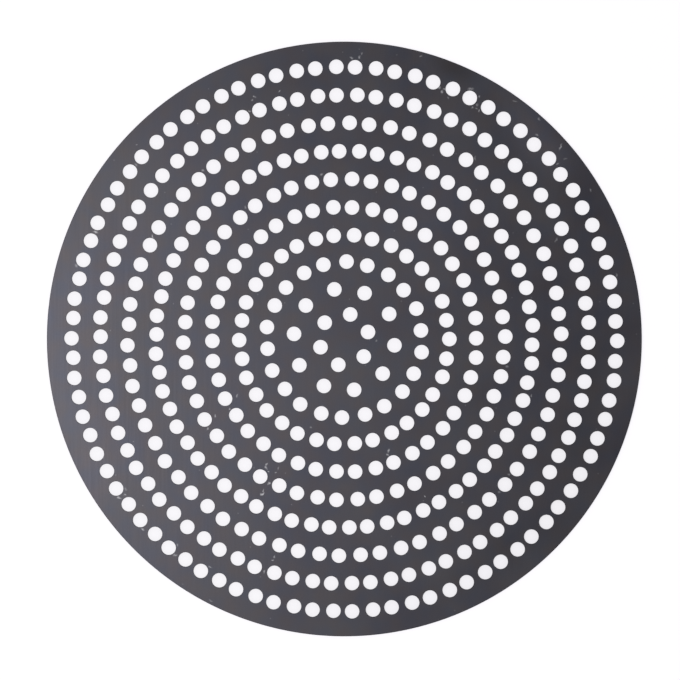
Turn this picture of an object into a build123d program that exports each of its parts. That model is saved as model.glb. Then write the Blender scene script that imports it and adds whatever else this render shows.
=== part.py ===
from build123d import *
import itertools
import math
import os

# A flat round disk that pizza is baked on, 16 inches across and open with rings of vent holes.
# It is one piece: a round blank of aluminium sheet, punched, deburred and hard anodised. It has
# no wall, rim, fold or handle.
#
# Millimetres and degrees. The origin is the middle of the underside, +Z is up out of the face
# that the pizza lies on, and angles go round from +X towards +Y.

# The blank
disk_diameter = 406.4
sheet_thickness = 1.63
rim_edge_radius = 0.3               # what deburring takes off both edges of the rim

# The vent holes. A press punches two at a time, on opposite sides of the middle, and the blank
# is turned by one share of a full turn between strokes. The number of strokes on a ring is odd,
# so the second punch's holes fall half way between the first's.
hole_diameter = 10.0
first_punch_angle = 137.83          # where the first stroke's first hole is, on every ring
least_web = 2.0                     # least metal left between two holes of a ring
least_rim_land = 11.0               # least metal left outside the last ring

# How far the second punch's rings are centred from the first's. The blank turns about a point
# that isn't quite half way between the two punches, so every other hole stands off a little.
punch_shift_x = 0.79
punch_shift_y = 0.30

# Steps from ring to ring, from the middle outward, with the number of rings that each is used
# for. The outer step goes on as far as the blank has room.
core_ring_step = 17.45
core_rings = 2
inner_ring_step = 18.26
inner_rings = 2
outer_ring_step = 19.1

# Press strokes on each ring, from the middle outward. Each stroke makes two holes.
strokes_per_ring = [3, 5, 11, 17, 21, 25, 31, 33, 39, 43]


def ring_step(ring):
    """Distance from the ring before, or from the middle on the first ring, which is ring 0."""
    if ring < core_rings:
        return core_ring_step
    if ring < core_rings + inner_rings:
        return inner_ring_step
    return outer_ring_step


def largest_odd(number):
    """The largest odd whole number that isn't above this one."""
    whole = math.floor(number)
    return whole if whole % 2 else whole - 1


def strokes_on(ring, radius, radius_before, strokes_before):
    """How many strokes fill a ring: an odd number that leaves a web between its holes."""
    if ring < len(strokes_per_ring):
        wanted = strokes_per_ring[ring]
    else:
        wanted = strokes_before * radius / radius_before
    least_spacing = hole_diameter + least_web + math.hypot(punch_shift_x, punch_shift_y)
    fitting = math.pi * radius / least_spacing
    return largest_odd(min(wanted, fitting))


def ring_layout():
    """Radius and number of strokes of each ring, from the middle out to the rim land."""
    layout = []
    last_radius = disk_diameter / 2 - least_rim_land - hole_diameter / 2
    radius = 0
    strokes = 0
    for ring in itertools.count():
        radius_before = radius
        radius += ring_step(ring)
        if radius > last_radius:
            return layout
        strokes = strokes_on(ring, radius, radius_before, strokes)
        layout.append((radius, strokes))


def punched_holes(ring_centre, start_angle):
    """The outlines of every hole that one of the two punches makes, on all the rings."""
    holes = []
    for radius, strokes in ring_layout():
        places = PolarLocations(radius, strokes, start_angle)
        holes += Pos(ring_centre) * places * Circle(hole_diameter / 2)
    return holes


def perforated_disk():
    """The whole piece, cut from the sheet with its holes and then deburred round the rim."""
    half_shift = Vector(punch_shift_x, punch_shift_y) / 2
    first_holes = punched_holes(-half_shift, first_punch_angle)
    second_holes = punched_holes(half_shift, first_punch_angle + 180)
    profile = Circle(disk_diameter / 2) - first_holes - second_holes
    disk = extrude(profile, amount=sheet_thickness)
    round_edges = disk.edges().filter_by(GeomType.CIRCLE)
    rim_edges = round_edges.sort_by(SortBy.RADIUS)[-2:]
    return fillet(rim_edges, rim_edge_radius)


os.makedirs("parts", exist_ok=True)
export_step(perforated_disk(), "parts/perforated_disk.step")
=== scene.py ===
import math
import bpy
from mathutils import Matrix, Vector


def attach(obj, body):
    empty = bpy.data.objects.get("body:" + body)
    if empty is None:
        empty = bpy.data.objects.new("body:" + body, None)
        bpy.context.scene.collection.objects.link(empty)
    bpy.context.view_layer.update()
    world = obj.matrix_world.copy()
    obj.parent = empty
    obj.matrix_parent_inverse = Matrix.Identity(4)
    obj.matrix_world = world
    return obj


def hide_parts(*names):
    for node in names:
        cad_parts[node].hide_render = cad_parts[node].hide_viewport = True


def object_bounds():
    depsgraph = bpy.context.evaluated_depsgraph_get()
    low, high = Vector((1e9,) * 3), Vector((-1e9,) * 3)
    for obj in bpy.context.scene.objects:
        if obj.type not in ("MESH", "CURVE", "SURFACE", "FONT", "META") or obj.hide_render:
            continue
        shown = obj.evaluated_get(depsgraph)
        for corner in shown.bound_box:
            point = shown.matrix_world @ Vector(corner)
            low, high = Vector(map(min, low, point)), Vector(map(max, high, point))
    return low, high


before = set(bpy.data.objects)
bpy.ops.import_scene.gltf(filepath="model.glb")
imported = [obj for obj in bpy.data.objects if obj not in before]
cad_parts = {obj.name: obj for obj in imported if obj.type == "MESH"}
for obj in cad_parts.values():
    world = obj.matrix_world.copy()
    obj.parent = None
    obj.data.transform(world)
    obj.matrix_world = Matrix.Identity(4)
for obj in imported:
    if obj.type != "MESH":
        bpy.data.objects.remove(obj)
cad_low, cad_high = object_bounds()

# The disk: a round blank of aluminium sheet that a press has punched with rings of vent holes,
# two holes to a stroke on opposite sides of the middle, with the blank turned between strokes.
# Its edges are then rounded over by deburring, and the whole piece is hard anodised.

MM = 0.001

disk_diameter = 406.4 * MM
sheet_thickness = 1.63 * MM
rim_edge_radius = 0.3 * MM
hole_diameter = 10.0 * MM
hole_edge_radius = 0.2 * MM
first_punch_angle = math.radians(137.83)
punch_shift = Vector((0.79, 0.30, 0)) * MM

core_ring_step = 17.45 * MM
core_rings = 2
inner_ring_step = 18.26 * MM
inner_rings = 2
outer_ring_step = 19.1 * MM
holes_per_stroke = 2
strokes_per_ring = [3, 5, 11, 17, 21, 25, 31, 33, 39, 43]
outer_rings = len(strokes_per_ring) - core_rings - inner_rings
ring_steps = ([core_ring_step] * core_rings + [inner_ring_step] * inner_rings
              + [outer_ring_step] * outer_rings)

hole_facets = 24
hole_edge_facets = 1
rim_facets = 480
rim_edge_facets = 3
weld_distance = 0.002 * MM


def add_node(tree, kind, inputs=(), **settings):
    """Adds a node with its own settings. Its inputs, by name or number, are values or sockets, or
    other nodes, which give the first of their outputs that is in use."""
    node = tree.nodes.new(kind)
    for name, value in settings.items():
        setattr(node, name, value)
    for key, value in dict(inputs).items():
        if isinstance(key, str):
            socket = next(s for s in node.inputs if s.enabled and s.name == key)
        else:
            socket = node.inputs[key]
        if isinstance(value, bpy.types.Node):
            value = next(s for s in value.outputs if s.enabled)
        if isinstance(value, bpy.types.NodeSocket):
            tree.links.new(value, socket)
        else:
            socket.default_value = value
    return node


def start_group(tree_kind, name, output, output_kind, inputs):
    """Opens a node group with one output and named inputs, and gives the group and its inputs."""
    tree = bpy.data.node_groups.new(name, tree_kind)
    tree.interface.new_socket(output, in_out="OUTPUT", socket_type="NodeSocket" + output_kind)
    for input_name, kind in inputs.items():
        tree.interface.new_socket(input_name, in_out="INPUT", socket_type="NodeSocket" + kind)
    return tree, tree.nodes.new("NodeGroupInput").outputs


def rounded_band_group():
    """The wall of a hole or of the rim: a strip from face to face, swept round a circle."""
    tree, given = start_group("GeometryNodeTree", "rounded band", "Band", "Geometry", {
        "Radius": "Float", "Thickness": "Float", "Edge Reach": "Float", "Edge Radius": "Float",
        "Facets": "Int", "Edge Facets": "Int"})
    upper_end = add_node(tree, "ShaderNodeCombineXYZ", {"X": given["Edge Reach"]})
    lower_corner = add_node(tree, "ShaderNodeCombineXYZ", {"Y": given["Thickness"]})
    lower_end = add_node(tree, "ShaderNodeVectorMath", {0: upper_end, 1: lower_corner}, operation="ADD")
    section = add_node(tree, "GeometryNodeCurvePrimitiveQuadrilateral", {
        "Point 1": upper_end, "Point 2": (0, 0, 0), "Point 3": lower_corner, "Point 4": lower_end},
        mode="POINTS")
    open_section = add_node(tree, "GeometryNodeSetSplineCyclic", {"Geometry": section, "Cyclic": False})
    rounded = add_node(tree, "GeometryNodeFilletCurve", {
        "Curve": open_section, "Count": given["Edge Facets"], "Radius": given["Edge Radius"],
        "Limit Radius": True}, mode="POLY")
    circle = add_node(tree, "GeometryNodeCurvePrimitiveCircle", {
        "Resolution": given["Facets"], "Radius": given["Radius"]})
    band = add_node(tree, "GeometryNodeCurveToMesh", {"Curve": circle, "Profile Curve": rounded})
    lift = add_node(tree, "ShaderNodeCombineXYZ", {"Z": given["Thickness"]})
    lifted = add_node(tree, "GeometryNodeTransform", {"Geometry": band, "Translation": lift})
    welded = add_node(tree, "GeometryNodeMergeByDistance", {
        "Geometry": lifted, "Distance": weld_distance})
    smooth = add_node(tree, "GeometryNodeSetShadeSmooth", {"Geometry": welded})
    marked = add_node(tree, "GeometryNodeStoreNamedAttribute", {
        "Geometry": smooth, "Name": "cut_edge", "Value": True}, data_type="BOOLEAN", domain="FACE")
    add_node(tree, "NodeGroupOutput", {0: marked})
    return tree


def perforated_disk_group():
    """The whole disk. Its geometry is the table of rings: a point for each ring, with its strokes."""
    tree, given = start_group("GeometryNodeTree", "perforated disk", "Disk", "Geometry", {
        "Ring Table": "Geometry", "Disk Diameter": "Float", "Sheet Thickness": "Float",
        "Rim Edge Radius": "Float", "Hole Diameter": "Float", "Hole Edge Radius": "Float",
        "First Punch Angle": "Float", "Punch Shift": "Vector", "Hole Facets": "Int",
        "Hole Edge Facets": "Int", "Rim Facets": "Int", "Rim Edge Facets": "Int",
        "Face Finish": "Material", "Edge Finish": "Material"})

    # Two holes for each stroke of each ring, every other one made by the second punch
    strokes = add_node(tree, "GeometryNodeInputNamedAttribute", {"Name": "strokes"}, data_type="INT")
    ring_radius = add_node(tree, "GeometryNodeInputNamedAttribute", {"Name": "ring_radius"},
                           data_type="FLOAT")
    holes_on_ring = add_node(tree, "ShaderNodeMath", {0: strokes, 1: holes_per_stroke},
                             operation="MULTIPLY")
    holes = add_node(tree, "GeometryNodeDuplicateElements", {
        "Geometry": given["Ring Table"], "Amount": holes_on_ring}, domain="POINT")
    hole_number = holes.outputs["Duplicate Index"]
    step_angle = add_node(tree, "ShaderNodeMath", {0: 2 * math.pi, 1: holes_on_ring},
                          operation="DIVIDE")
    turned = add_node(tree, "ShaderNodeMath", {0: hole_number, 1: step_angle}, operation="MULTIPLY")
    angle = add_node(tree, "ShaderNodeMath", {0: turned, 1: given["First Punch Angle"]}, operation="ADD")
    spoke = add_node(tree, "ShaderNodeCombineXYZ", {"X": ring_radius})
    on_ring = add_node(tree, "ShaderNodeVectorRotate", {
        "Vector": spoke, "Angle": angle}, rotation_type="Z_AXIS")
    second_punch = add_node(tree, "ShaderNodeMath", {0: hole_number, 1: holes_per_stroke},
                            operation="MODULO")
    shift_share = add_node(tree, "ShaderNodeMath", {0: second_punch, 1: 0.5}, operation="SUBTRACT")
    shift = add_node(tree, "ShaderNodeVectorMath", {
        0: given["Punch Shift"], "Scale": shift_share}, operation="SCALE")
    place = add_node(tree, "ShaderNodeVectorMath", {0: on_ring, 1: shift}, operation="ADD")
    placed = add_node(tree, "GeometryNodeSetPosition", {"Geometry": holes, "Position": place})

    # The two faces: the rim's outline filled round the outlines of the holes
    hole_radius = add_node(tree, "ShaderNodeMath", {0: given["Hole Diameter"], 1: 0.5},
                           operation="MULTIPLY")
    disk_radius = add_node(tree, "ShaderNodeMath", {0: given["Disk Diameter"], 1: 0.5},
                           operation="MULTIPLY")
    face_hole_radius = add_node(tree, "ShaderNodeMath", {
        0: hole_radius, 1: given["Hole Edge Radius"]}, operation="ADD")
    face_radius = add_node(tree, "ShaderNodeMath", {
        0: disk_radius, 1: given["Rim Edge Radius"]}, operation="SUBTRACT")
    hole_outline = add_node(tree, "GeometryNodeCurvePrimitiveCircle", {
        "Resolution": given["Hole Facets"], "Radius": face_hole_radius})
    hole_outlines = add_node(tree, "GeometryNodeInstanceOnPoints", {
        "Points": placed, "Instance": hole_outline})
    real_outlines = add_node(tree, "GeometryNodeRealizeInstances", {"Geometry": hole_outlines})
    rim_outline = add_node(tree, "GeometryNodeCurvePrimitiveCircle", {
        "Resolution": given["Rim Facets"], "Radius": face_radius})
    outlines = add_node(tree, "GeometryNodeJoinGeometry", {0: rim_outline})
    tree.links.new(real_outlines.outputs[0], outlines.inputs[0])
    face = add_node(tree, "GeometryNodeFillCurve", {"Curve": outlines}, mode="TRIANGLES")
    flat_face = add_node(tree, "GeometryNodeSetShadeSmooth", {"Geometry": face, "Shade Smooth": False})
    lift = add_node(tree, "ShaderNodeCombineXYZ", {"Z": given["Sheet Thickness"]})
    top_face = add_node(tree, "GeometryNodeTransform", {"Geometry": flat_face, "Translation": lift})
    underside = add_node(tree, "GeometryNodeFlipFaces", {"Mesh": flat_face})

    # The walls of the holes, whose edges reach outwards, and of the rim, whose edges reach inwards
    band_group = rounded_band_group()
    hole_band = add_node(tree, "GeometryNodeGroup", {
        "Radius": hole_radius, "Thickness": given["Sheet Thickness"],
        "Edge Reach": given["Hole Edge Radius"], "Edge Radius": given["Hole Edge Radius"],
        "Facets": given["Hole Facets"], "Edge Facets": given["Hole Edge Facets"]},
        node_tree=band_group)
    inward = add_node(tree, "ShaderNodeMath", {0: 0.0, 1: given["Rim Edge Radius"]},
                      operation="SUBTRACT")
    rim_band = add_node(tree, "GeometryNodeGroup", {
        "Radius": disk_radius, "Thickness": given["Sheet Thickness"],
        "Edge Reach": inward, "Edge Radius": given["Rim Edge Radius"],
        "Facets": given["Rim Facets"], "Edge Facets": given["Rim Edge Facets"]},
        node_tree=band_group)
    hole_wall = add_node(tree, "GeometryNodeFlipFaces", {"Mesh": hole_band})
    hole_walls = add_node(tree, "GeometryNodeInstanceOnPoints", {
        "Points": placed, "Instance": hole_wall})

    joined = add_node(tree, "GeometryNodeJoinGeometry", {0: top_face})
    for piece in (underside, hole_walls, rim_band):
        tree.links.new(piece.outputs[0], joined.inputs[0])
    real = add_node(tree, "GeometryNodeRealizeInstances", {"Geometry": joined})
    welded = add_node(tree, "GeometryNodeMergeByDistance", {
        "Geometry": real, "Distance": weld_distance})
    faced = add_node(tree, "GeometryNodeSetMaterial", {
        "Geometry": welded, "Material": given["Face Finish"]})
    cut_edge = add_node(tree, "GeometryNodeInputNamedAttribute", {"Name": "cut_edge"},
                        data_type="BOOLEAN")
    finished = add_node(tree, "GeometryNodeSetMaterial", {
        "Geometry": faced, "Selection": cut_edge, "Material": given["Edge Finish"]})
    add_node(tree, "NodeGroupOutput", {0: finished})
    return tree


def ring_table():
    """One loose point for each ring, which carries its radius and its number of press strokes."""
    mesh = bpy.data.meshes.new("ring_table")
    mesh.vertices.add(len(ring_steps))
    radius = mesh.attributes.new("ring_radius", "FLOAT", "POINT")
    strokes = mesh.attributes.new("strokes", "INT", "POINT")
    reached = 0
    for ring, step in enumerate(ring_steps):
        reached += step
        radius.data[ring].value = reached
        strokes.data[ring].value = strokes_per_ring[ring]
    return mesh


# The oxide on the flat faces. Hard anodising leaves aluminium a satin charcoal that drifts by a
# shade over a few centimetres, with the sheet's rolling lines and the bath's etch under it.

oxide_darker = "#46464e"
oxide_lighter = "#565557"
oxide_warmer = "#524c4e"
oxide_cooler = "#494b56"
shade_patch = 60 * MM
tint_patch = 14 * MM
tint_share = 0.5
satin_roughness = 0.45
roughness_drift = 0.06

# A noise texture stays near its middle. Its detail is the number of finer layers on its patches.
noise_middle = 0.5
noise_reach = 0.2
even_detail = 1.0
ragged_detail = 2.0
cloudy_detail = 3.0

# The real rolling lines are about 0.1 mm wide and the etch about 0.05 mm. Both are drawn ten times
# as coarse, which is the finest that shows.
rolling_line_width = 1.0 * MM
rolling_line_length = 60 * MM
rolling_line_depth = 0.006 * MM
etch_grain = 0.8 * MM
etch_depth = 0.01 * MM

# Painted light and shade: broad places where the oxide's colour is made paler or deeper, to follow
# how brightly the light falls on each part of the sheet. Each row is its place right and up from
# the middle, its length and width in millimetres, its lean in degrees from +X towards +Y, and the
# share by which it is paler.
painted_light_places = (
    (68, 95, 100, 75, 50, 0.17),
    (58, 66, 200, 150, 60, 0.06),
    (131, 139, 95, 48, 130, 0.40),
    (72, 150, 90, 40, 0, 0.06),
    (76, 186, 50, 30, 155, -0.32),
    (169, -21, 90, 45, 85, -0.16),
    (161, -72, 80, 50, 75, -0.12),
    (150, -55, 120, 50, 60, -0.06),
    (100, -150, 150, 45, 35, -0.11),
    (148, -128, 110, 70, 50, -0.09),
    (86, -35, 90, 50, 80, -0.08),
    (-180, -70, 150, 35, 120, 0.05),
    (-160, 54, 80, 45, 80, -0.06),
    (-130, 0, 150, 90, 80, -0.04),
    (-70, 30, 110, 70, 10, -0.07),
    (-60, 170, 180, 50, 15, -0.06),
    (-145, 148, 90, 50, 45, -0.06),
    (-140, -60, 120, 70, 120, -0.04),
)

# The pale marks that rubs and knocks have left on its top face, in rows as above, with how pale
# each is last. A mark fades out beyond the size that it seems to have, which is what its row gives.
# The place is shifted to and fro inside a mark, so that its outline is ragged.
rubbed_oxide = "#b4b3b6"
rub_spread = 1.3
ragged_patch = 2.0 * MM
ragged_shift = 0.7 * MM
rub_marks = (
    (-56.0, -105.6, 3.3, 2.1, 40, 0.95),
    (-55.4, -103.4, 2.6, 1.0, 80, 0.55),
    (-52.9, -85.3, 2.3, 1.4, 60, 0.65),
    (-53.8, -87.1, 2.7, 1.6, 110, 0.62),
    (-53.0, -88.2, 1.8, 1.0, 150, 0.4),
    (-51.7, -90.0, 1.6, 1.0, 160, 0.9),
    (-51.3, -98.3, 3.2, 1.6, 35, 0.8),
    (-45.3, -88.0, 3.4, 0.9, 75, 0.28),
    (-46.9, -90.9, 2.0, 1.1, 5, 0.6),
    (-47.7, -148.6, 2.0, 1.6, 15, 0.5),
    (-49.0, -150.8, 1.5, 1.2, 60, 0.8),
    (-54.9, -158.8, 2.7, 1.3, 70, 0.6),
    (147.5, 131.5, 5.2, 1.6, 66, 1.0),
    (168.0, 102.2, 2.3, 1.8, 80, 0.6),
    (131.3, 139.5, 2.3, 1.5, 150, 0.68),
    (150.5, 123.5, 3.4, 1.6, 10, 0.3),
    (145.4, 119.7, 2.1, 1.4, 20, 0.65),
    (132.8, 150.3, 2.6, 1.6, 120, 0.55),
    (116.4, 162.6, 3.4, 1.3, 160, 0.38),
    (52.1, 193.4, 1.9, 1.4, 30, 0.58),
    (11.8, 195.1, 2.1, 1.4, 80, 0.46),
    (10.2, 192.5, 2.1, 1.4, 87, 0.65),
    (5.1, 192.1, 2.5, 1.5, 173, 0.6),
    (66.7, 169.0, 2.8, 1.7, 85, 1.0),
    (68.3, 171.1, 2.2, 1.7, 20, 1.0),
    (64.5, 171.9, 3.4, 2.0, 150, 1.0),
    (71.2, 164.8, 1.8, 1.4, 100, 0.62),
    (86.3, 171.0, 4.8, 1.8, 0, 0.66),
    (91.9, 165.6, 2.5, 1.2, 87, 0.7),
    (87.6, 158.4, 1.8, 1.3, 80, 0.8),
    (90.6, 160.0, 2.6, 1.3, 30, 0.5),
    (90.2, 157.7, 2.4, 1.3, 150, 0.6),
    (91.8, 156.4, 2.1, 1.4, 60, 0.85),
    (89.3, 124.0, 2.5, 1.2, 108, 0.55),
    (144.6, 68.0, 4.1, 1.5, 62, 0.38),
    (186.0, 44.0, 2.6, 1.5, 102, 0.55),
    (111.2, -18.4, 2.8, 1.5, 151, 0.5),
    (112.5, -92.0, 2.2, 1.5, 11, 0.5),
    (106.0, -104.2, 2.0, 1.5, 134, 0.42),
    (55.1, -107.3, 1.8, 1.2, 107, 1.0),
    (30.3, -75.9, 2.7, 1.7, 75, 0.85),
    (29.5, -78.6, 2.4, 1.4, 115, 0.8),
    (127.9, -38.2, 1.9, 1.4, 60, 0.55),
    (22.0, -0.6, 1.6, 1.2, 20, 0.35),
    (-23.0, -60.0, 1.7, 1.2, 140, 0.4),
    (-15.7, 112.8, 2.8, 1.7, 23, 0.58),
    (-44.2, 169.5, 1.8, 1.4, 70, 0.66),
    (-64.5, 156.2, 2.0, 1.4, 160, 0.66),
    (-61.4, 165.6, 2.0, 1.4, 160, 0.75),
    (-62.7, 163.3, 1.8, 1.2, 60, 0.5),
    (-67.4, 90.2, 2.2, 1.8, 145, 0.4),
    (-96.3, 115.5, 2.5, 1.5, 155, 0.45),
    (-142.0, 119.6, 2.8, 1.3, 143, 0.38),
    (-141.4, 133.2, 1.2, 1.0, 0, 0.75),
    (-73.3, -38.3, 2.8, 1.5, 54, 0.45),
    (-78.1, -47.3, 1.8, 1.2, 44, 0.5),
    (-88.2, -52.0, 1.9, 1.3, 72, 0.5),
    (-93.4, -61.0, 2.8, 1.5, 61, 0.45),
    (-91.9, -155.8, 3.0, 1.2, 152, 0.5),
    (-91.3, -178.9, 3.6, 1.4, 150, 0.28),
    (-114.2, -140.6, 2.1, 1.1, 124, 0.33),
    (-115.7, -147.5, 3.1, 1.5, 178, 0.38),
    (-138.0, -129.6, 3.0, 1.3, 150, 0.63),
    (-149.5, -102.2, 2.7, 1.8, 121, 0.24),
    (-150.0, -106.3, 1.6, 1.2, 20, 0.5),
    (-153.9, -107.9, 3.8, 1.3, 153, 0.52),
    (-183.2, 50.6, 3.0, 1.6, 140, 0.26),
    (-130.9, 70.7, 2.4, 1.1, 120, 0.8),
    (-169.9, 73.5, 3.8, 1.8, 165, 0.68),
)
dust_spacing = 24 * MM
dust_radius = 0.6 * MM
dusty_cells_share = 0.4
dust_paleness = 0.22


def linear(hex_colour):
    """An sRGB hex colour as the linear colour that shaders take."""
    channels = [int(hex_colour[i:i + 2], 16) / 255 for i in (1, 3, 5)]
    return tuple(c / 12.92 if c <= 0.04045 else ((c + 0.055) / 1.055) ** 2.4 for c in channels) + (1,)


def soft_oval_group():
    """One oval spot that has its strength in the middle and fades to nothing at its edge."""
    tree, given = start_group("ShaderNodeTree", "soft oval", "Spot", "Float", {
        "Place": "Vector", "Middle": "Vector", "Lean": "Float", "Half Size": "Vector",
        "Strength": "Float"})
    offset = add_node(tree, "ShaderNodeVectorMath", {
        0: given["Place"], 1: given["Middle"]}, operation="SUBTRACT")
    along = add_node(tree, "ShaderNodeVectorRotate", {
        "Vector": offset, "Angle": given["Lean"]}, rotation_type="Z_AXIS", invert=True)
    share = add_node(tree, "ShaderNodeVectorMath", {0: along, 1: given["Half Size"]}, operation="DIVIDE")
    reach = add_node(tree, "ShaderNodeVectorMath", {0: share}, operation="LENGTH")
    spot = add_node(tree, "ShaderNodeMapRange", {
        "Value": reach.outputs["Value"], "From Min": 1.0, "From Max": 0.0,
        "To Max": given["Strength"]}, interpolation_type="SMOOTHSTEP")
    add_node(tree, "NodeGroupOutput", {0: spot})
    return tree


def hard_anodised_rolled_sheet():
    """Rolled aluminium sheet, etched and hard anodised. The oxide scatters what the metal under it
    reflects, so the eye sees a dark satin that glows towards the lamp and has no sharp highlight."""
    material = bpy.data.materials.new("hard_anodised_rolled_sheet")
    material.use_nodes = True
    tree = material.node_tree
    shader = tree.nodes["Principled BSDF"]
    shader.inputs["Metallic"].default_value = 1.0
    place = add_node(tree, "ShaderNodeTexCoord").outputs["Object"]

    shade_noise = add_node(tree, "ShaderNodeTexNoise", {
        "Vector": place, "Scale": 1 / shade_patch, "Detail": cloudy_detail})
    shade_drift = add_node(tree, "ShaderNodeMapRange", {
        "Value": shade_noise, "From Min": noise_middle - noise_reach,
        "From Max": noise_middle + noise_reach})
    shade = add_node(tree, "ShaderNodeMix", {
        "Factor": shade_drift, "A": linear(oxide_darker), "B": linear(oxide_lighter)}, data_type="RGBA")
    tint_noise = add_node(tree, "ShaderNodeTexNoise", {
        "Vector": place, "Scale": 1 / tint_patch, "Detail": even_detail})
    tint_drift = add_node(tree, "ShaderNodeMapRange", {
        "Value": tint_noise, "From Min": noise_middle - noise_reach,
        "From Max": noise_middle + noise_reach})
    tint = add_node(tree, "ShaderNodeMix", {
        "Factor": tint_drift, "A": linear(oxide_warmer), "B": linear(oxide_cooler)}, data_type="RGBA")
    oxide = add_node(tree, "ShaderNodeMix", {
        "Factor": tint_share, "A": shade, "B": tint}, data_type="RGBA")

    oval_group = soft_oval_group()
    # Painted light and shade from the broad places above, as a scale on the oxide's colour
    painted_light_scale = 1.0
    for right, up, length, width, lean, paler_share in painted_light_places:
        paler = add_node(tree, "ShaderNodeGroup", {
            "Place": place, "Middle": (right * MM, up * MM, 0), "Lean": math.radians(lean),
            "Half Size": (length * MM / 2, width * MM / 2, width * MM / 2),
            "Strength": paler_share}, node_tree=oval_group)
        painted_light_scale = add_node(tree, "ShaderNodeMath", {0: painted_light_scale, 1: paler}, operation="ADD")
    oxide_with_painted_light = add_node(tree, "ShaderNodeVectorMath", {
        0: oxide, "Scale": painted_light_scale}, operation="SCALE")

    stretched = add_node(tree, "ShaderNodeVectorMath", {
        0: place, 1: (1 / rolling_line_width, 1 / rolling_line_length, 0)}, operation="MULTIPLY")
    rolling_lines = add_node(tree, "ShaderNodeTexNoise", {
        "Vector": stretched, "Scale": 1.0, "Detail": even_detail})
    etch = add_node(tree, "ShaderNodeTexNoise", {
        "Vector": place, "Scale": 1 / etch_grain, "Detail": even_detail})
    etched = add_node(tree, "ShaderNodeBump", {"Height": etch, "Distance": etch_depth})
    rolled = add_node(tree, "ShaderNodeBump", {
        "Height": rolling_lines, "Distance": rolling_line_depth, "Normal": etched})
    tree.links.new(rolled.outputs[0], shader.inputs["Normal"])

    dust_cells = add_node(tree, "ShaderNodeTexVoronoi", {
        "Vector": place, "Scale": 1 / dust_spacing}, voronoi_dimensions="2D")
    speck = add_node(tree, "ShaderNodeMapRange", {
        "Value": dust_cells.outputs["Distance"], "From Min": dust_radius / dust_spacing,
        "From Max": 0.0, "To Max": dust_paleness}, interpolation_type="SMOOTHSTEP")
    dusty = add_node(tree, "ShaderNodeMath", {
        0: dust_cells.outputs["Color"], 1: dusty_cells_share}, operation="LESS_THAN")
    paled = add_node(tree, "ShaderNodeMath", {0: speck, 1: dusty}, operation="MULTIPLY")
    ragged_noise = add_node(tree, "ShaderNodeTexNoise", {
        "Vector": place, "Scale": 1 / ragged_patch, "Detail": ragged_detail}, normalize=False)
    ragged = add_node(tree, "ShaderNodeVectorMath", {
        0: ragged_noise.outputs["Color"], 1: (ragged_shift, ragged_shift, 0), 2: place},
        operation="MULTIPLY_ADD")
    for right, up, length, width, lean, paleness in rub_marks:
        mark = add_node(tree, "ShaderNodeGroup", {
            "Place": ragged, "Middle": (right * MM, up * MM, sheet_thickness),
            "Lean": math.radians(lean),
            "Half Size": (length * rub_spread * MM / 2, width * rub_spread * MM / 2, sheet_thickness / 2),
            "Strength": paleness}, node_tree=oval_group)
        paled = add_node(tree, "ShaderNodeMath", {0: paled, 1: mark}, operation="MAXIMUM")
    colour = add_node(tree, "ShaderNodeMix", {
        "Factor": paled, "A": oxide_with_painted_light, "B": linear(rubbed_oxide)}, data_type="RGBA")
    tree.links.new(colour.outputs["Result"], shader.inputs["Base Color"])

    # The lines and the shade's drift both go from 0 to 1, so their sum goes to 2
    drift = add_node(tree, "ShaderNodeMath", {0: rolling_lines, 1: shade_drift}, operation="ADD")
    roughness = add_node(tree, "ShaderNodeMapRange", {
        "Value": drift, "From Max": 2.0, "To Min": satin_roughness - roughness_drift,
        "To Max": satin_roughness + roughness_drift})
    tree.links.new(roughness.outputs[0], shader.inputs["Roughness"])
    return material


# The oxide on the punched walls. A punch shears the upper part of a wall smooth and tears the
# rest, both with upright lines. Deburring rounds the corners, whose colour is painted dark as
# shade, and where handling wears the oxide pale in places.

sheared_oxide = "#4c4b50"
torn_oxide = "#3e3d41"
# Painted shade: the rounded corners are coloured darker than the wall
corner_painted_shade = "#2e2d31"
worn_corner_oxide = "#6c6b6f"
worn_patch = 5 * MM
wear_begins = 0.54
wear_is_full = 0.7
corner_begins_tilt = 0.1
corner_is_full_tilt = 0.5
sheared_share = 0.4
tear_raggedness = sheet_thickness / 2
tear_blur = 0.1 * MM
sheared_roughness = 0.38
torn_roughness = 0.6
wall_line_width = 0.35 * MM
wall_line_depth = 0.01 * MM


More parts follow.
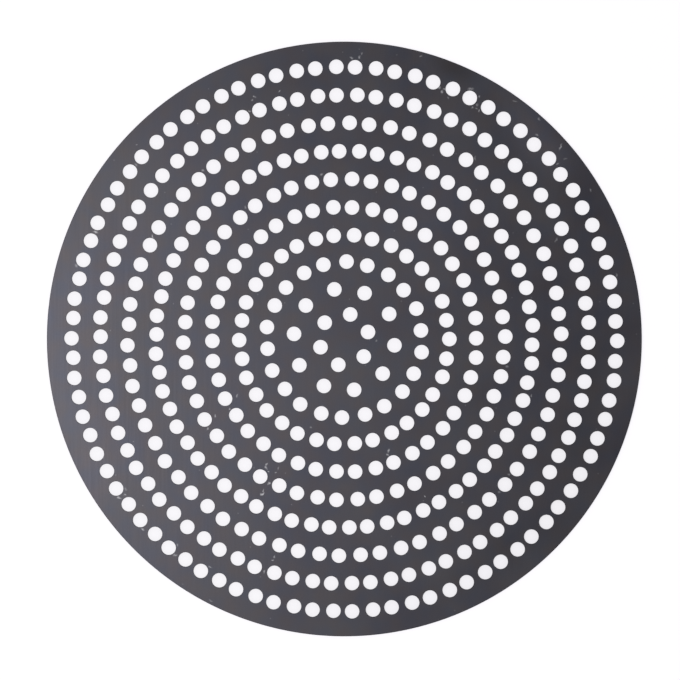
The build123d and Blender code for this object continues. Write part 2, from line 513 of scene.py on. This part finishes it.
def hard_anodised_punched_edge():
    """The wall of a hole or of the rim, punched and hard anodised: a smooth band over a dull one,
    scored upright, between rounded corners that are painted dark as shade and worn pale in places."""
    material = bpy.data.materials.new("hard_anodised_punched_edge")
    material.use_nodes = True
    tree = material.node_tree
    shader = tree.nodes["Principled BSDF"]
    shader.inputs["Metallic"].default_value = 1.0
    coordinates = add_node(tree, "ShaderNodeTexCoord")
    place = coordinates.outputs["Object"]

    stretched = add_node(tree, "ShaderNodeVectorMath", {
        0: place, 1: (1 / wall_line_width, 1 / wall_line_width, 1 / sheet_thickness)},
        operation="MULTIPLY")
    upright_lines = add_node(tree, "ShaderNodeTexNoise", {
        "Vector": stretched, "Scale": 1.0, "Detail": ragged_detail})
    scored = add_node(tree, "ShaderNodeBump", {"Height": upright_lines, "Distance": wall_line_depth})
    tree.links.new(scored.outputs[0], shader.inputs["Normal"])

    height = add_node(tree, "ShaderNodeSeparateXYZ", {"Vector": place}).outputs["Z"]
    ragged = add_node(tree, "ShaderNodeMath", {
        0: upright_lines, 1: tear_raggedness, 2: height}, operation="MULTIPLY_ADD")
    tear_height = sheet_thickness * (1 - sheared_share) + tear_raggedness * noise_middle
    sheared = add_node(tree, "ShaderNodeMapRange", {
        "Value": ragged, "From Min": tear_height - tear_blur,
        "From Max": tear_height + tear_blur}, interpolation_type="SMOOTHSTEP")
    wall = add_node(tree, "ShaderNodeMix", {
        "Factor": sheared, "A": linear(torn_oxide), "B": linear(sheared_oxide)}, data_type="RGBA")
    wear_noise = add_node(tree, "ShaderNodeTexNoise", {
        "Vector": place, "Scale": 1 / worn_patch, "Detail": cloudy_detail})
    wear = add_node(tree, "ShaderNodeMapRange", {
        "Value": wear_noise, "From Min": wear_begins, "From Max": wear_is_full},
        interpolation_type="SMOOTHSTEP")
    # The corners' painted shade, mixed with their pale wear
    corner_shade_and_wear = add_node(tree, "ShaderNodeMix", {
        "Factor": wear, "A": linear(corner_painted_shade), "B": linear(worn_corner_oxide)}, data_type="RGBA")
    facing = add_node(tree, "ShaderNodeSeparateXYZ", {"Vector": coordinates.outputs["Normal"]})
    tilt = add_node(tree, "ShaderNodeMath", {0: facing.outputs["Z"]}, operation="ABSOLUTE")
    corner = add_node(tree, "ShaderNodeMapRange", {
        "Value": tilt, "From Min": corner_begins_tilt, "From Max": corner_is_full_tilt},
        interpolation_type="SMOOTHSTEP")
    colour = add_node(tree, "ShaderNodeMix", {
        "Factor": corner, "A": wall, "B": corner_shade_and_wear}, data_type="RGBA")
    tree.links.new(colour.outputs["Result"], shader.inputs["Base Color"])
    roughness = add_node(tree, "ShaderNodeMapRange", {
        "Value": sheared, "To Min": torn_roughness, "To Max": sheared_roughness})
    tree.links.new(roughness.outputs[0], shader.inputs["Roughness"])
    return material


disk = bpy.data.objects.new("perforated_anodised_disk", ring_table())
bpy.context.scene.collection.objects.link(disk)
punching = disk.modifiers.new("punching", "NODES")
punching.node_group = perforated_disk_group()
disk_inputs = {
    "Disk Diameter": disk_diameter, "Sheet Thickness": sheet_thickness,
    "Rim Edge Radius": rim_edge_radius, "Hole Diameter": hole_diameter,
    "Hole Edge Radius": hole_edge_radius, "First Punch Angle": first_punch_angle,
    "Punch Shift": punch_shift, "Hole Facets": hole_facets, "Hole Edge Facets": hole_edge_facets,
    "Rim Facets": rim_facets, "Rim Edge Facets": rim_edge_facets,
    "Face Finish": hard_anodised_rolled_sheet(), "Edge Finish": hard_anodised_punched_edge()}
for socket in punching.node_group.interface.items_tree:
    if socket.name in disk_inputs:
        punching[socket.identifier] = disk_inputs[socket.name]
evaluated_disk = disk.evaluated_get(bpy.context.evaluated_depsgraph_get())
disk_mesh = bpy.data.meshes.new_from_object(evaluated_disk)
disk.modifiers.clear()
disk.data = disk_mesh
disk_mesh.name = disk.name
disk_mesh.materials.pop(index=0)    # the ring table's empty slot, which no face uses

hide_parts("perforated_disk")
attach(disk, "root")

# The floor: a sheet of white paper, lit like anything else, with some white of its own for the
# camera and reflections. It is clear from below, and also to the underside that lies on it, which
# would otherwise be black when it is seen from below.

floor_radius = 12.0
floor_facets = 96
floor_gap = 0.05 * MM
see_through_reach = 0.3 * MM
paper_lit = "#8a8a8b"
paper_glow = "#f4f2f6"

# How strong the paper's own white is in each place, and how far from the middle these places are
# Painted shade: the paper's own white is lower under the disk, and lower still towards its lower right
glow_under_disk = 0.825
glow_at_dim_corner = 0.768
glow_in_open = 0.90
glow_far_off = 0.98
glow_step_begins = sum(ring_steps) + hole_diameter
glow_step_ends = disk_diameter / 2
far_off_begins = 300 * MM
far_off_ends = 1500 * MM
dim_corner_way = Vector((1, -1, 0)).normalized()
dim_corner_begins = 75 * MM
dim_corner_ends = 193 * MM


def white_paper():
    """Matt white paper. Its own white is painted dimmer under the disk than in the open, as shade in
    the holes, and dimmer still there towards the lower right, as shade where the light falls off.
    Far off, where the lamp's light is weak, it is brighter, so that the floor meets the room's white
    without a line."""
    material = bpy.data.materials.new("white_paper")
    material.use_nodes = True
    tree = material.node_tree
    tree.nodes.clear()
    paper = add_node(tree, "ShaderNodeBsdfDiffuse", {"Color": linear(paper_lit)})
    place = add_node(tree, "ShaderNodeTexCoord").outputs["Object"]
    to_corner = add_node(tree, "ShaderNodeVectorMath", {0: place, 1: dim_corner_way},
                         operation="DOT_PRODUCT")
    under_disk = add_node(tree, "ShaderNodeMapRange", {
        "Value": to_corner.outputs["Value"], "From Min": dim_corner_begins,
        "From Max": dim_corner_ends, "To Min": glow_under_disk, "To Max": glow_at_dim_corner})
    from_middle = add_node(tree, "ShaderNodeVectorMath", {0: place}, operation="LENGTH")
    in_open = add_node(tree, "ShaderNodeMapRange", {
        "Value": from_middle.outputs["Value"], "From Min": far_off_begins,
        "From Max": far_off_ends, "To Min": glow_in_open, "To Max": glow_far_off})
    glow_here = add_node(tree, "ShaderNodeMapRange", {
        "Value": from_middle.outputs["Value"], "From Min": glow_step_begins,
        "From Max": glow_step_ends, "To Min": under_disk, "To Max": in_open})
    path = add_node(tree, "ShaderNodeLightPath")
    seen = path.outputs["Is Camera Ray"]
    for ray in ("Is Glossy Ray", "Is Transmission Ray"):
        seen = add_node(tree, "ShaderNodeMath", {0: seen, 1: path.outputs[ray]}, operation="MAXIMUM")
    strength = add_node(tree, "ShaderNodeMath", {0: seen, 1: glow_here}, operation="MULTIPLY")
    glow = add_node(tree, "ShaderNodeEmission", {"Color": linear(paper_glow), "Strength": strength})
    lit = add_node(tree, "ShaderNodeAddShader", {0: paper, 1: glow})
    touching = add_node(tree, "ShaderNodeMath", {
        0: path.outputs["Ray Length"], 1: see_through_reach}, operation="LESS_THAN")
    from_below = add_node(tree, "ShaderNodeNewGeometry").outputs["Backfacing"]
    unseen = add_node(tree, "ShaderNodeMath", {0: touching, 1: from_below}, operation="MAXIMUM")
    clear = add_node(tree, "ShaderNodeBsdfTransparent")
    sheet = add_node(tree, "ShaderNodeMixShader", {0: unseen, 1: lit, 2: clear})
    add_node(tree, "ShaderNodeOutputMaterial", {"Surface": sheet})
    return material


floor_mesh = bpy.data.meshes.new("floor")
floor_corners = [
    (floor_radius * math.cos(2 * math.pi * i / floor_facets),
     floor_radius * math.sin(2 * math.pi * i / floor_facets), cad_low.z - floor_gap)
    for i in range(floor_facets)]
floor_mesh.from_pydata(floor_corners, [], [range(floor_facets)])
floor = bpy.data.objects.new("floor", floor_mesh)
floor.data.materials.append(white_paper())
bpy.context.scene.collection.objects.link(floor)

# The light: a pale room with a darker ceiling, and one soft square lamp overhead, a little to
# the left of the camera, which leaves the sheet brightest on its left. The camera itself sees
# white in place of the room. The sheet doesn't, because a white ceiling would light it well above
# its written colours.

lamp_place = Vector((-0.48, -0.10, 1.25))
lamp_side = 0.4
lamp_power = 6.2
wall_white = "#ffffff"
ceiling_grey = "#89898e"
wall_top_sine = 0.45
ceiling_edge_sine = 0.8

lamp_data = bpy.data.lights.new("soft_lamp", "AREA")
lamp_data.shape = "SQUARE"
lamp_data.size = lamp_side
lamp_data.energy = lamp_power
lamp = bpy.data.objects.new("soft_lamp", lamp_data)
lamp.location = lamp_place
lamp.rotation_mode = "QUATERNION"
lamp.rotation_quaternion = (-lamp_place).to_track_quat("-Z", "Y")
bpy.context.scene.collection.objects.link(lamp)

world = bpy.data.worlds.new("pale_room")
world.use_nodes = True
room = world.node_tree
room.nodes.clear()
direction = add_node(room, "ShaderNodeTexCoord")
height = add_node(room, "ShaderNodeSeparateXYZ", {"Vector": direction.outputs["Generated"]})
up_the_wall = add_node(room, "ShaderNodeMapRange", {
    "Value": height.outputs["Z"], "From Min": wall_top_sine, "From Max": ceiling_edge_sine},
    interpolation_type="SMOOTHSTEP")
room_colour = add_node(room, "ShaderNodeMix", {
    "Factor": up_the_wall, "A": linear(wall_white), "B": linear(ceiling_grey)}, data_type="RGBA")
seen_by = add_node(room, "ShaderNodeLightPath")
shown_colour = add_node(room, "ShaderNodeMix", {
    "Factor": seen_by.outputs["Is Camera Ray"], "A": room_colour, "B": linear(wall_white)},
    data_type="RGBA")
room_light = add_node(room, "ShaderNodeBackground", {"Color": shown_colour, "Strength": 1.0})
add_node(room, "ShaderNodeOutputWorld", {"Surface": room_light})
bpy.context.scene.world = world

# The camera: a long lens almost straight above, turned a little off square, as the photograph
# shows by its slightly larger upper half. The disk is a few pixels right of its middle.

camera_lens = 200
camera_sensor = 36
picture_pixels = 680
disk_pixels = 595.04
disk_middle_pixel = (344.22, 339.63)
camera_lean = Vector((0.0065, 0.0272))

pixel_size = disk_diameter / disk_pixels
camera_distance = picture_pixels * pixel_size * camera_lens / camera_sensor
aim = Vector((
    (picture_pixels / 2 - disk_middle_pixel[0]) * pixel_size,
    (disk_middle_pixel[1] - picture_pixels / 2) * pixel_size,
    sheet_thickness))
camera_data = bpy.data.cameras.new("camera")
camera_data.lens = camera_lens
camera_data.sensor_width = camera_sensor
camera_data.clip_end = 2 * camera_distance
camera = bpy.data.objects.new("camera", camera_data)
camera_back = Vector((camera_lean.x, camera_lean.y, 1)).normalized()
camera_right = Vector((0, 1, 0)).cross(camera_back).normalized()
camera_up = camera_back.cross(camera_right)
camera.location = aim + camera_back * camera_distance
camera.rotation_mode = "QUATERNION"
camera.rotation_quaternion = Matrix((camera_right, camera_up, camera_back)).transposed().to_quaternion()
bpy.context.scene.collection.objects.link(camera)
bpy.context.scene.camera = camera

bpy.context.scene.view_settings.view_transform = "Standard"
